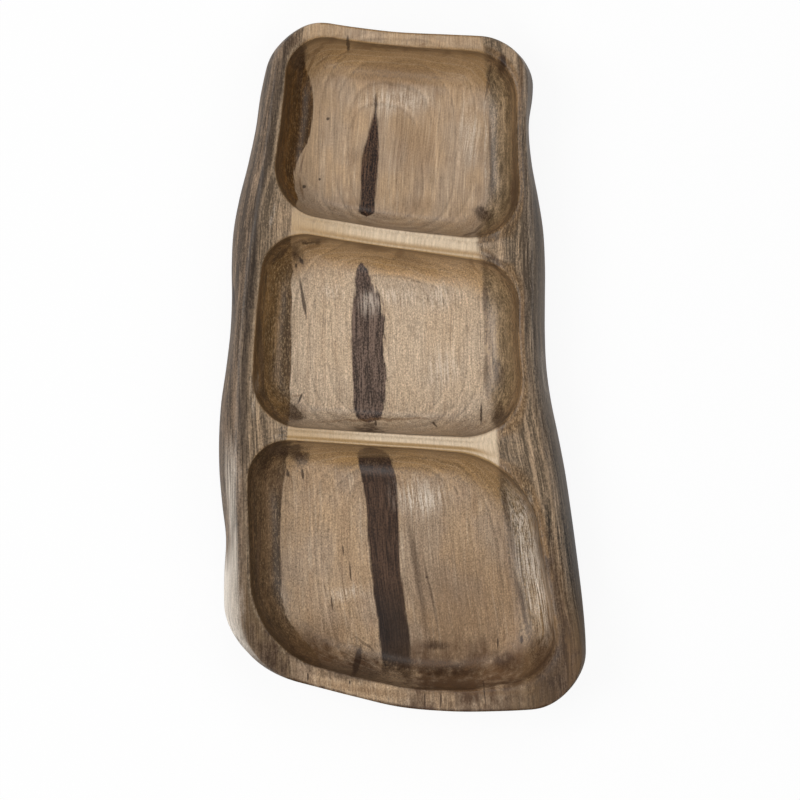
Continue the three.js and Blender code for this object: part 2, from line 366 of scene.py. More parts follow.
def hollow_levels(hollow, border, drop, crown):
    """Loops from the border of a hollow's share of the top, over its lip and down its walls, to
    the middle of its floor. drop says how far the border lies below the rim's height."""
    directions = border - hollow.middle
    directions /= np.linalg.norm(directions, axis=1)[:, None]
    lip = hollow.edges(0, 0).meet(hollow.middle, directions)
    ease = lip_ease(lip)
    floor = HEIGHT - hollow.depth
    wall_top = HEIGHT - ease

    def lowered(z):
        return z - (drop + crown) * (z - floor) / hollow.depth

    divider = drop / DIVIDER_DROP
    levels = []
    for ring in range(TOP_RINGS):
        part = ring / TOP_RINGS
        points = border + (lip - border) * part
        z = HEIGHT - drop - crown * part ** 2
        levels.append(loop_at(points, z, ZONE_BORDER + part, divider))
    for ring in range(EASE_RINGS):
        part = ring / EASE_RINGS
        angle = part * QUARTER_TURN
        points = hollow.edges(0, ease * math.sin(angle)).meet(hollow.middle, directions)
        z = lowered(HEIGHT - ease * (1 - math.cos(angle)))
        levels.append(loop_at(points, z, ZONE_LIP + (ZONE_WALL - ZONE_LIP) * part, divider))
    for ring in range(WALL_RINGS):
        part = ring / WALL_RINGS
        angle = part * QUARTER_TURN
        edges = hollow.edges(1 - math.cos(angle), ease)
        points = edges.meet(hollow.middle, directions)
        z = lowered(wall_top - (wall_top - floor) * math.sin(angle))
        zone = ZONE_WALL + (ZONE_FLOOR - ZONE_WALL) * part
        levels.append(loop_at(points, z, zone, divider))
    foot = hollow.edges(1, ease).meet(hollow.middle, directions)
    for ring in range(FLOOR_RINGS + 1):
        part = 1 - ring / FLOOR_RINGS
        points = hollow.middle + (foot - hollow.middle) * part
        z = floor - FLOOR_DISH * (1 - part ** 2)
        levels.append(loop_at(points, z, ZONE_FLOOR + 1 - part, divider * part))
    return levels


def outer_levels(starts, directions):
    """Loops from the rim down the flanks and round the belly to the edge of the flat base."""
    levels = []
    for ring in range(FLANK_RINGS, 0, -1):
        part = ring / FLANK_RINGS
        angle = part * QUARTER_TURN
        points = dish_edges(1 - math.cos(angle), 0).meet(starts, directions)
        z = WIDEST_HEIGHT + (HEIGHT - WIDEST_HEIGHT) * math.sin(angle)
        levels.append(loop_at(points, z, ZONE_BORDER * part))
    for ring in range(BELLY_RINGS + 1):
        part = ring / BELLY_RINGS
        angle = part * QUARTER_TURN
        points = dish_edges(0, BASE_INSET * (1 - math.cos(angle))).meet(starts, directions)
        z = WIDEST_HEIGHT - (WIDEST_HEIGHT - BASE_HEIGHT) * math.sin(angle)
        levels.append(loop_at(points, z, -part))
    return levels


def noise_at(places, sizes):
    """Smooth noise from 0 to 1 at each place, with features of about the given sizes."""
    scaled = places / np.asarray(sizes, float)
    return np.array([noise.noise(Vector(place)) for place in scaled]) / 2 + 0.5


def wear_in(bm):
    """Draws the surface in by shallow tool marks, and by longer lumps on the natural flanks."""
    bm.normal_update()
    places = np.array([vert.co for vert in bm.verts]) / MM
    x, y, z = places.T
    flank = smooth_step(RIM.outside(x, y) / FLANK_FADE)
    belly = smooth_step((z - BASE_HEIGHT) / BELLY_FADE)
    scallops = LEAST_SCALLOP_DEPTH + SCALLOP_DEPTH * noise_at(places, (SCALLOP_SIZE,) * 3)
    lumps = LUMP_DEPTH * noise_at(places, LUMP_SIZES) + RIPPLE_DEPTH * noise_at(places, RIPPLE_SIZES)
    depths = (scallops + (lumps - scallops) * flank) * belly * MM
    for vert, depth in zip(bm.verts, depths):
        vert.co -= vert.normal * depth


def put_in_scene(name, data):
    """An object that shows a mesh, or holds a lamp or the camera."""
    holder = bpy.data.objects.new(name, data)
    bpy.context.scene.collection.objects.link(holder)
    return holder


def finish_mesh(bm, name, material):
    """Turns a bmesh into an object of one material."""
    mesh = bpy.data.meshes.new(name)
    bm.to_mesh(mesh)
    bm.free()
    mesh.materials.append(material)
    return put_in_scene(name, mesh)


def finish_piece(bm, name, material, node):
    """Turns a bmesh into a smooth-shaded piece of the dish that takes the place of a node."""
    for face in bm.faces:
        face.smooth = True
    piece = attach(finish_mesh(bm, name, material), "root")
    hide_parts(node)


def make_body(material):
    """The carved body: each hollow with its share of the rim and of the dividing walls, then the
    flanks, the belly and the flat base."""
    starts, directions, ends = outline_rays()
    rim_points = RIM.meet(starts, directions)
    rim_drop = np.zeros(len(rim_points))
    right_front = ends["right", 1]
    right_rear = ends["right", 2]
    left_rear = ends["left", 1]
    left_front = ends["left", 2]

    def divider(shares, left, right):
        return divider_points(shares, rim_points[left, 0], rim_points[right, 0])

    rear_wall, rear_drop = divider(REAR_DIVIDER_SHARES, left_rear, right_rear)
    front_wall, front_drop = divider(FRONT_DIVIDER_SHARES, left_front, right_front)
    rear_side = slice(right_rear, left_rear + 1)
    right_side = slice(right_front, right_rear + 1)
    left_side = slice(left_rear, left_front + 1)
    borders = [
        (REAR_HOLLOW, [rim_points[rear_side], rear_wall], [rim_drop[rear_side], rear_drop]),
        (
            MIDDLE_HOLLOW,
            [rim_points[right_side], rear_wall[::-1], rim_points[left_side], front_wall],
            [rim_drop[right_side], rear_drop[::-1], rim_drop[left_side], front_drop],
        ),
        (
            FRONT_HOLLOW,
            [rim_points[left_front:], rim_points[:right_front + 1], front_wall[::-1]],
            [rim_drop[left_front:], rim_drop[:right_front + 1], front_drop[::-1]],
        ),
    ]
    bm = bmesh.new()
    bm.verts.layers.float.new("zone")
    bm.verts.layers.float.new("divider")
    for hollow, points, drops in borders:
        drop = np.concatenate(drops)
        crown = RIM_CROWN + (DIVIDER_CROWN - RIM_CROWN) * drop / DIVIDER_DROP
        add_sheet(bm, hollow_levels(hollow, np.concatenate(points), drop, crown))
    add_sheet(bm, outer_levels(starts, directions))
    bmesh.ops.remove_doubles(bm, verts=bm.verts, dist=MERGE_DISTANCE * MM)
    base_edge = [edge for edge in bm.edges if edge.is_boundary]
    bmesh.ops.triangle_fill(bm, edges=base_edge, use_beauty=True)
    bmesh.ops.recalc_face_normals(bm, faces=bm.faces)
    wear_in(bm)
    finish_piece(bm, "carved_body", material, "dish_body")


# Rubber bumpers
PAD_RIM_SHARE = 0.86
PAD_DOME_SHARE = 0.62
PAD_DOME_STEPS = 8
PAD_SPIN_STEPS = 48


def make_bumper(node, material):
    """A stick-on bumper: a domed foot with a flat middle, spun round its own axis."""
    low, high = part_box(node)
    middle = (low + high) / 2
    radius = (high.x - low.x) / 2
    height = high.z - low.z
    profile = [(0, 0), (PAD_DOME_SHARE, 0)]
    for step in range(1, PAD_DOME_STEPS + 1):
        angle = step / PAD_DOME_STEPS * QUARTER_TURN
        profile.append((
            PAD_DOME_SHARE + (1 - PAD_DOME_SHARE) * math.sin(angle),
            PAD_RIM_SHARE * (1 - math.cos(angle)),
        ))
    profile += [(1, 1), (0, 1)]
    bm = bmesh.new()
    verts = [
        bm.verts.new((middle.x + r * radius, middle.y, low.z + z * height)) for r, z in profile
    ]
    edges = [bm.edges.new(pair) for pair in zip(verts, verts[1:])]
    bmesh.ops.spin(
        bm, geom=verts + edges, cent=middle, axis=(0, 0, 1), angle=4 * QUARTER_TURN,
        steps=PAD_SPIN_STEPS, use_merge=True,
    )
    bmesh.ops.remove_doubles(bm, verts=bm.verts, dist=MERGE_DISTANCE * MM)
    bmesh.ops.recalc_face_normals(bm, faces=bm.faces)
    finish_piece(bm, node.replace("foot_pad", "bumper"), material, node)


class Wire:
    """A socket in a finish's nodes. Sums on wires and numbers add their Math nodes."""

    def __init__(self, finish, socket):
        self.finish = finish
        self.socket = socket

    def maths(self, operation, *values):
        settings = {"operation": operation}
        return self.finish.node("ShaderNodeMath", settings, dict(enumerate(values)))

    def __add__(self, other):
        return self.maths("ADD", self, other)

    def __radd__(self, other):
        return self.maths("ADD", other, self)

    def __sub__(self, other):
        return self.maths("SUBTRACT", self, other)

    def __rsub__(self, other):
        return self.maths("SUBTRACT", other, self)

    def __mul__(self, other):
        return self.maths("MULTIPLY", self, other)

    def __rmul__(self, other):
        return self.maths("MULTIPLY", other, self)

    def __truediv__(self, other):
        return self.maths("DIVIDE", self, other)

    def __pow__(self, other):
        return self.maths("POWER", self, other)

    def __mod__(self, other):
        return self.maths("FLOORED_MODULO", self, other)

    def __abs__(self):
        return self.maths("ABSOLUTE", self)

    def also(self, output):
        """Another output of the same node."""
        return Wire(self.finish, self.socket.node.outputs[output])


class Finish:
    """A material, or a world, whose nodes are made by calls."""

    def __init__(self, name, made_in=bpy.data.materials):
        self.owner = made_in.new(name)
        self.owner.use_nodes = True
        self.tree = self.owner.node_tree
        self.tree.nodes.clear()

    def node(self, kind, settings=None, inputs=None, output=0):
        """Any node: its settings first, then the values or links of its sockets."""
        node = self.tree.nodes.new(kind)
        for name, value in (settings or {}).items():
            if name == "stops":
                set_stops(node.color_ramp, value)
            elif name == "points":
                set_points(node.mapping, value)
            else:
                setattr(node, name, value)
        for name, value in (inputs or {}).items():
            if isinstance(value, Wire):
                self.tree.links.new(value.socket, node.inputs[name])
            else:
                node.inputs[name].default_value = value
        return Wire(self, node.outputs[output]) if node.outputs else None

    def vector(self, operation, first, second):
        return self.node("ShaderNodeVectorMath", {"operation": operation}, {0: first, 1: second})

    def shade(self, colour, factor):
        """A colour made lighter or darker by a factor."""
        return self.node("ShaderNodeVectorMath", {"operation": "SCALE"}, {0: colour, 3: factor})

    def along(self, place, direction):
        """How far a place reaches in a direction."""
        return self.vector("DOT_PRODUCT", place, direction).also("Value")

    def from_middle(self, place, spot):
        """How far a place lies across and along from a spot's middle, with 1 at the spot's edge."""
        x, y, half_width, half_length, turn = spot
        cosine = math.cos(math.radians(turn))
        sine = math.sin(math.radians(turn))
        across = self.along(place, (cosine / half_width, sine / half_width, 0))
        across = across - (x * cosine + y * sine) / half_width
        along = self.along(place, (-sine / half_length, cosine / half_length, 0))
        return across, along - (y * cosine - x * sine) / half_length

    def nearest(self, place, spots):
        """How far a place lies from the middle of the nearest long spot, with 1 at its edge."""
        gap = None
        for spot in spots:
            across, along = self.from_middle(place, spot)
            reach = across * across + along * along
            gap = reach if gap is None else reach.maths("MINIMUM", reach, gap)
        up = self.along(place, (0, 0, 1 / SPOT_REACH)) - SPOT_HEIGHT / SPOT_REACH
        return (gap + up * up) ** 0.5

    def closed_lines(self, place, loops):
        """Fine closed lines of rounded shapes: 1 on a line, -1 just outside it and 0 elsewhere."""
        lines = None
        for loop in loops:
            across, along = self.from_middle(place, loop)
            reach = abs(across) ** LINE_SQUARENESS + abs(along) ** LINE_SQUARENESS
            gap = (reach ** (1 / LINE_SQUARENESS) - 1) * loop[2]
            line = self.step(abs(gap), *LINE_REACH)
            pair = line - self.step(abs(gap - LINE_TO_HALO), *HALO_REACH)
            lines = pair if lines is None else lines + pair
        return lines

    def join(self, across, along, up):
        """A place from its three parts."""
        return self.node("ShaderNodeCombineXYZ", None, {0: across, 1: along, 2: up})

    def at_least(self, value, lowest):
        """A value that never falls under the lowest."""
        return value.maths("MAXIMUM", value, lowest)

    def between(self, share, first, second):
        """A value on the way from the first to the second."""
        return first + (second - first) * share

    def mix(self, share, first, second):
        """A colour on the way from the first to the second."""
        return self.node("ShaderNodeMix", {"data_type": "RGBA"}, {0: share, 6: first, 7: second}, 2)

    def step(self, value, low, high):
        """0 at low, 1 at high and a smooth slope between them."""
        inputs = {"Value": value, "From Min": low, "From Max": high}
        return self.node("ShaderNodeMapRange", {"interpolation_type": "SMOOTHSTEP"}, inputs)

    def blur(self, place, sizes, detail=2.0, roughness=0.5):
        """Noise within half of zero, whose features have about the given sizes in millimetres."""
        scaled = self.vector("DIVIDE", place, sizes)
        inputs = {"Vector": scaled, "Scale": 1.0, "Detail": detail, "Roughness": roughness}
        return self.node("ShaderNodeTexNoise", None, inputs) - 0.5

    def ramp(self, value, *stops):
        return self.node("ShaderNodeValToRGB", {"stops": stops}, {0: value})

    def path(self, y, points):
        """A smooth line along the dish: pairs of y and x in millimetres, from front to rear."""
        place = (y + HALF_LENGTH) / LENGTH
        shares = [((py + HALF_LENGTH) / LENGTH, (px + HALF_WIDTH) / WIDTH) for py, px in points]
        curve = self.node("ShaderNodeFloatCurve", {"points": shares}, {"Value": place})
        return curve * WIDTH - HALF_WIDTH

    def principled(self, **inputs):
        """The surface: sockets by name, with an underscore for a space."""
        named = {name.replace("_", " "): value for name, value in inputs.items()}
        shader = self.node("ShaderNodeBsdfPrincipled", None, named)
        self.node("ShaderNodeOutputMaterial", None, {"Surface": shader})
        return self.owner


def set_stops(ramp, stops):
    for place, colour in stops[1:-1]:
        ramp.elements.new(place)
    for element, (place, colour) in zip(ramp.elements, stops):
        element.position = place
        element.color = colour


def set_points(mapping, points):
    curve = mapping.curves[0]
    for place, value in points[1:-1]:
        curve.points.new(place, value)
    for point, (place, value) in zip(curve.points, points):
        point.location = (place, value)
    mapping.update()


def tone(red, green, blue):
    """A colour from its screen values, 0 to 255."""
    return (*(((value / 255 + 0.055) / 1.055) ** 2.4 for value in (red, green, blue)), 1.0)


# Paths of the wood's figure along the dish, as y and x in millimetres from front to rear
CORE_MIDDLE = [
    (-200, -2), (-178, -3.3), (-160, -4.2), (-125, -8.9), (-102, -10.9), (-78, -12.1), (-55, -16),
    (-45, -18.9), (-13, -18.9), (10, -20.3), (38, -20.4), (46, -21), (55, -23.3), (62, -23.6),
    (90, -20.8), (100, -20.4), (120, -19.2), (134, -17.4), (150, -16), (163, -15.4), (200, -14),
]
CORE_HALF_WIDTH = [
    (-200, 8), (-172, 8.4), (-160, 8.8), (-125, 8.8), (-78, 9.7), (-58, 10),
    (-54, 9.6), (-50, 8.4), (-47.5, 6), (-45, -6), (-36, -6), (-30, 6.5), (-25, 9.4), (-13, 10),
    (10, 9.3), (38, 8.8), (46, 6.8),
    (55, 4.4), (62, 0.8), (67, -6), (86, -6), (91, 4), (99, 4.5), (120, 5), (134, 3.8), (143, 2.4),
    (152, 1), (163, 0.2), (170, -6), (200, -6),
]
LEFT_BORDER = [
    (-200, -62), (-175, -63.7), (-150, -68), (-131, -71), (-80, -71.4), (-45, -67), (10, -65.4),
    (60, -65), (85, -64), (98, -61), (106, -62.5), (114, -63.5), (121, -62.5), (128, -59),
    (134, -55.5), (140, -53.5), (165, -53.5), (178, -57), (200, -56),
]
RIGHT_BORDER = [
    (-200, 72), (-186, 71.5), (-160, 69), (-131, 65), (-107, 61), (-78, 57.8), (-45, 55),
    (10, 49), (55, 46.5), (75, 43.5), (95, 49), (120, 50.5), (160, 50.5), (200, 43.5),
]
LEFT_LINE = [
    (-200, -82), (-157, -87), (-134, -89.5), (-88, -90.5), (-48, -91), (-25, -92), (-2, -91.5),
    (21, -89.5), (45, -87), (73, -85), (88, -84.5), (105, -81.4), (122, -77.6), (145, -74.5),
    (168, -70), (200, -65),
]
RIGHT_LINE = [
    (-200, 101), (-160, 100), (-131, 96), (-107, 92.5), (-78, 88), (-45, 82.5), (-20, 77),
    (10, 72.5), (60, 70.5), (120, 70), (160, 69.5), (200, 66),
]

# Spots in the wood, as x, y, half width and half length in millimetres and a turn in degrees.
# They reach from the floors of the hollows to the rim.
SPOT_HEIGHT = 27
SPOT_REACH = 30
DARK_SPOTS = [
    (-58.4, 40.6, 1.1, 12.5, 10), (-43.7, 147.4, 0.9, 1, 0), (-48.4, 111.4, 0.8, 0.8, 0),
    (-59.3, 62.5, 1, 2.2, 20), (-62.5, 60, 0.9, 1.6, 0),
    (-58.6, -62.7, 0.9, 3.8, 8), (-67.5, -62.5, 0.8, 2.4, 12), (-60, -17.8, 0.8, 3.4, -22),
    (19.2, -33.5, 0.8, 2.6, 25), (-26, -171.5, 2, 8.5, -14), (-54.3, -178.6, 0.6, 2.8, 0),
    (13.2, -192, 0.5, 6.5, 0), (22.4, -192, 0.4, 5.5, 0), (47.8, -190, 0.6, 7, 5),
    (-31.3, 188.5, 1.1, 3.6, 0), (-37.3, 79, 0.9, 3.2, 0), (58.6, 177, 1.9, 5.5, 10),
    (-57.8, 106.7, 1, 1.1, 0), (56.5, -162.5, 0.8, 3, 0), (70.5, -160, 0.8, 2.6, 0),
    (14.4, -123.5, 0.8, 0.8, 0), (-30, -182, 0.8, 1.2, 0), (-98, 41, 1, 6, 3),
    (-18, -58.5, 0.9, 1.6, 0),
    (-15.5, -32.5, 0.7, 1.6, 0), (46.5, -27, 0.7, 6.5, 0), (18.6, 77, 4.5, 0.7, 8),
    (-41.5, -138.5, 0.5, 5, 5), (-30.5, -120, 0.5, 6.5, 4), (-35, -108, 0.5, 3.5, 4),
]
BROWN_SPOTS = [
    (-59, 121, 0.8, 8.5, -15), (-59.4, 106.5, 0.9, 7.5, 12), (-49.1, 185.3, 1.2, 8, -50),
    (-39.2, 190.3, 1.1, 6, -75), (-45.6, 181.5, 0.7, 6.5, -48), (-35, 183.5, 0.7, 5, -60),
    (-53.5, 178, 0.8, 9, -25), (-6, 185.5, 30, 0.9, -3), (-17, 69.5, 12, 1.6, -8),
    (-50, 72, 9, 1.4, 20), (40, 62, 1, 9, 38),
    (45, 63.5, 1, 9, 42), (49.5, 66, 1.2, 9, 50), (66, 105, 2.6, 16, 0),
    (68.5, 165, 1.6, 22, 0), (69.5, 30, 1.8, 30, 0), (92, -135, 4.5, 48, 9),
    (-24, -186, 42, 3, -9), (38, -187.5, 40, 2.2, -1), (-15, -30.5, 45, 1, 2),
    (-62, -16, 4, 0.9, 0), (12, 186, 3, 1.2, 0), (26, 182, 3, 1, 0),
    (-14.6, 70, 2.6, 1.8, 0), (-1.5, 66.6, 3.2, 2.4, 20),
    (87, -128, 5, 40, 13), (95, -160, 6, 26, 8),
]
# Painted shade in the corners of the hollows, and dark mottled patches along the foot of the front
# hollow's near wall
SHADE_AND_PATCH_SPOTS = [
    (-70, -48.5, 13, 4, 5), (-60.5, -52, 5.5, 5.5, 0), (-80, -57, 3.5, 9, -30),
    (-54, 73.2, 12, 1.5, 8), (-71, 66, 8.5, 1.8, 41), (-62, 66.5, 3, 6, 20),
    (-62, -167, 14, 1.8, -28), (53.5, 59.5, 8, 1.6, -35), (57.5, 174, 2, 6.5, 10),
    (26, -178, 22, 3, 0), (61, -172, 9, 6, -20), (20, -164, 9, 3, -10),
    (2, -176, 6, 8, 0),
]
SMOKY_SPOTS = [
    (-62.6, -25.5, 6.5, 6.5, -20), (-68, -49, 13, 6, 0), (-59, -54, 5, 5.5, 0),
    (47.5, 91.5, 5.5, 6, 0), (57, -4, 4, 9, 0), (88, -128, 4.5, 44, 13),
    (-34, -178, 30, 5, -10), (88, -176, 17, 24, 8),
    (-77, -165, 9, 24, 38), (-61.5, 187, 7, 13, -8), (-15, -55, 10, 3, 0),
    (92, -150, 3, 26, 9), (57, -30, 5, 10, 0), (-20, -38, 10, 4, 0),
]
STREAK_SPOTS = [
    (49, 41, 1.6, 10, 0), (49.8, -6, 2.2, 14, 4), (9, -121.5, 2.3, 38, 9),
    (17.2, -134, 1, 24, 12), (63, -92, 2.2, 28, 10), (71, -140, 1.5, 26, 12),
    (-98, 36.6, 1.8, 9, 3), (-21.5, -163.5, 0.9, 9, 52), (65.5, 100, 2.2, 12, 0),
    (67.5, 32, 1.1, 12, 2), (53, 62.5, 1.8, 7.5, 58), (52.5, 120, 1.2, 30, 2),
    (50.5, 168, 0.8, 12, -8), (86, -110, 1, 34, 12), (93, -165, 0.9, 16, 16),
    (89, -160, 0.8, 18, 14), (96, -150, 0.7, 14, 12), (-84, -110, 1.2, 30, -2),
    (-59, 175, 2, 14, -12), (-82.5, 10, 1.6, 30, 3), (44, 80.5, 8, 0.6, 32),
    (40, 78.5, 8, 0.6, 22), (47, 84, 7, 0.6, 42), (50.5, 86.5, 6, 0.6, 52),
]
# Painted sheen: silvery patches where light glances off the floors, the front hollow's right wall and
# the lower left flank
PAINTED_SHEEN_SPOTS = [
    (76, -114, 10, 50, 13), (72, -104, 4, 30, 12), (-97, -140, 8, 32, 3),
    (-2, 44, 15, 7, 0), (-42, 44, 9, 6, 0), (-32, -134, 14, 5, 10),
    (-74.5, 88, 1.5, 8, -10), (-19, 38, 8, 10, 0),
    (-99, -60, 6, 26, 0), (84, -6, 3.5, 20, 12), (22, 42, 14, 8, 0),
    (24, 0, 13, 12, 0), (10, -76, 17, 12, 0), (-4, 158, 26, 9, 4),
    (-86, -16, 2.2, 14, 2), (49.5, 128, 0.7, 34, 0), (40, 138, 7, 22, 0),
]
DUSKY_SPOTS = [
    (38, -142, 56, 50, 0), (-46, -160, 30, 22, 30), (38, -168, 60, 22, 0),
    (-64, 62, 10, 14, 0), (-72, -66, 12, 14, -30), (-28, 124, 13, 8, 0),
    (6, 128, 22, 28, 0), (-30, 98, 8, 5, 10), (8, 96, 14, 7, 0),
    (34, -34, 14, 7, -12), (4, 62, 15, 5, -18), (-4, 172, 40, 8, 0),
]

# Growth rings that show as fine closed lines on the floors, given as the spots are. A paler halo
# runs round each line, a little outside it.
LINE_SQUARENESS = 2.8
LINE_REACH = (0.9, 0.1)
LINE_TO_HALO = 1.6
HALO_REACH = (1.5, 0.1)
FLOOR_LINES = [
    (-6.5, 126.5, 26, 42.5, 0), (-9, 122, 22, 34.5, 4), (-4, 131, 36, 50, 0),
    (-4, 133, 46, 56, 0), (-8, 14, 46, 50, 0), (-8, 12, 36, 42, 0),
    (-8, 18, 56, 56, 0), (-26, -120, 24, 62, 6), (6, -118, 52, 64, 8),
    (4, -114, 40, 54, 8),
]

# Colours of the wood
PALE_GOLD = tone(174, 146, 115)
PALE_GREY = tone(164, 141, 117)
PALE_LIGHT = tone(200, 179, 154)
PALE_DARK = tone(124, 97, 74)
WALL_GOLD = tone(154, 120, 76)
FLECK_GOLD = tone(172, 145, 110)
CREAM = tone(216, 194, 165)
CREAM_GOLD = tone(172, 140, 97)
CORE_DARK = tone(26, 15, 9)
CORE_LIGHT = tone(86, 62, 46)
CORE_BLUE = tone(32, 26, 24)
CORE_MID = tone(74, 56, 44)
CORE_GREY = tone(128, 109, 97)
BROWN_DARK = tone(54, 35, 20)
BROWN_MIDDLE = tone(108, 79, 50)
BROWN_NEAR = tone(86, 64, 47)
LEFT_GOLD = tone(88, 58, 22)
LEFT_GREY = tone(86, 69, 56)
LEFT_WALL = [
    tone(118, 90, 54), tone(82, 58, 32), tone(113, 85, 50), tone(112, 87, 57), tone(92, 72, 52),
]
RIGHT_WALL = [
    tone(108, 84, 58), tone(116, 90, 62), tone(118, 97, 70), tone(134, 114, 90), tone(152, 132, 112),
]
WALL_STOPS = (0.02, 0.18, 0.45, 0.75, 1.0)
BORDER_GREY = tone(84, 69, 57)
RIM_BROWN = tone(128, 108, 86)
FLANK_BROWN = tone(108, 90, 73)
FLANK_GREY = tone(98, 85, 72)
# Colour of the painted highlight on the left flank
FLANK_HIGHLIGHT = tone(240, 229, 215)
CORNER_BROWN = tone(93, 71, 46)
# Colour of the painted sheen
PAINTED_SHEEN = tone(206, 192, 176)
SPOT_DARK = tone(42, 26, 18)
SMOKE = tone(92, 73, 56)
LINE_DARK = tone(40, 30, 25)
LIP_LIGHT = tone(164, 144, 118)

# Growth rings, and how far across the dish the fibres come to lie along the core
PITH_X = -7
PITH_DEPTH = 130
RING_SPACING = 4
CORE_X = -19
LEAN_X = (-75, -15)

# Noises in the wood: the sizes of their features in millimetres, across the fibres or the edge
# of the log, along them and up
SWAY_SIZES = (28, 110, 24)
WANDER_SIZES = (5, 30, 5)
BROAD_SIZES = (4.5, 120, 4.5)
STREAK_SIZES = (1.4, 44, 1.4)
THREAD_SIZES = (0.65, 17, 0.65)
SPECKLE_SIZES = (0.7, 1.0, 0.7)
FLECK_SIZES = (0.8, 2.6, 0.8)
GRIT_SIZES = (0.9, 1.3, 0.9)
CLOUD_SIZES = (22, 34, 18)
MOTTLE_SIZES = (5, 9, 5)
BAND_SIZES = (4.5, 130, 9)
STRAND_SIZES = (1.0, 60, 3.5)
LOBE_SIZES = (3.2, 14, 6)
BUMP_DEPTH = 0.2

# Where a look begins and where it is full: in millimetres along the dish (Y), across it (X), up
# (Z), across a line or slanted over a front corner, then in zones, and by how far a wall faces
# the rear
# The middle hollow, over which sheen is painted
MIDDLE_SHEEN_Y = 12
MIDDLE_SHEEN_REACH = (62, 34)
ROUGH_Y = (82, 60)
NEAR_WALL_Y = (-140, -168)
NEAR_SHADE_Y = (-60, -40)
FRONT_SHADE_X = (-15, 10)
FRONT_SHADE_Y = (-60, -120)
FRONT_DIM_Y = (-45, -75)
SWEEP_Y = (-142, -178)
SWEEP_WIDTH = 18
RIGHT_SIDE_X = (-5, 5)
BORDER_REACH = (5.0, 0.5)
BORDER_Y = (92, 68)
GREYED_Y = (-40, -60)
GOLDEN_Y = (62, 100)
SHADED_LIP_Y = (-40, -55)
OUTER_REACH = (2.0, 7.0)
FLANK_REACH = (-1.0, 4.0)
LINE_WIDTHS = (4.2, 0.6)
LINE_Y = (-110, -10)
LOW_FLANK_REACH = (-14.0, -6.0)
LOW_FLANK_Y = (-66, -98)
HIGHLIGHT_Y = (-98, -128)
HALF_HIGHLIGHT_Y = (-35, -80)
HIGHLIGHT_Z = (8, 20)
LOW_RIGHT_X = (-8, 14)
LOW_RIGHT_Y = (-142, -170)
CORNER_SLOPE = -0.6
RIGHT_CORNER = (162, 195)
LEFT_CORNER = (154, 176)
# Where painted light lifts the shade under the lip in the front right corner
LIT_CORNER = (145, 165)
CORE_LOBES_REACH = (-1, 4)
CORE_EDGE_REACH = (-0.7, 0.9)
CORE_Z = (42, 37)
CORE_END_Y = (-184, -170)
CORE_BREAK_Y = 48
CORE_BREAK_REACH = (6, 3)
CORE_MID_Y = (-30, -60)
CORE_BLUE_Y = (-118, -150)
DUSKY_FRONT_Y = (-60, -110)
DUSKY_REAR_Y = (105, 150)
PAINTED_SHEEN_Z = (40, 24)
GLARE_Y = (-60, -80)
GOLD_RIDGE_X = (-8, -58)
LEFT_LIP_X = (-25, -55)

SWEEP_ZONE = (2.02, 2.2)
FLANK_SHADE_ZONE = (0.5, 0.0)
HALF_HIGHLIGHT_ZONE = (0.45, 0.8)
HIGHLIGHT_ZONE = (1.0, 0.85)
WALL_ZONE = (1.95, 2.25)
RIM_ZONE = (0.75, 1.0)
LEFT_CORNER_ZONE = (0.3, 1.0)
PAINTED_SHEEN_ZONE = (1.0, 0.9)
RIDGE_ZONE = (2.3, 2.05)
LIP_OUTER_ZONE = (1.8, 1.98)
LIP_INNER_ZONE = (2.22, 2.08)
UNDER_LIP_TOP_ZONE = (2.12, 2.2)
UNDER_LIP_FOOT_ZONE = (2.42, 2.24)
LIT_CORNER_ZONE = (2.0, 2.2)
ROUGH_FLANK_ZONE = (1.2, 0.4)

END_WALL_FACING = (0.12, 0.7)
FAR_WALL_FACING = (-0.03, -0.45)
NEAR_WALL_FACING = (0.05, 0.5)
NEAR_SHADE_FACING = (0.1, 0.6)
HIGHLIGHT_FACING = (0.75, 0.4)
RIDGE_SHADE_FACING = (-0.1, -0.5)


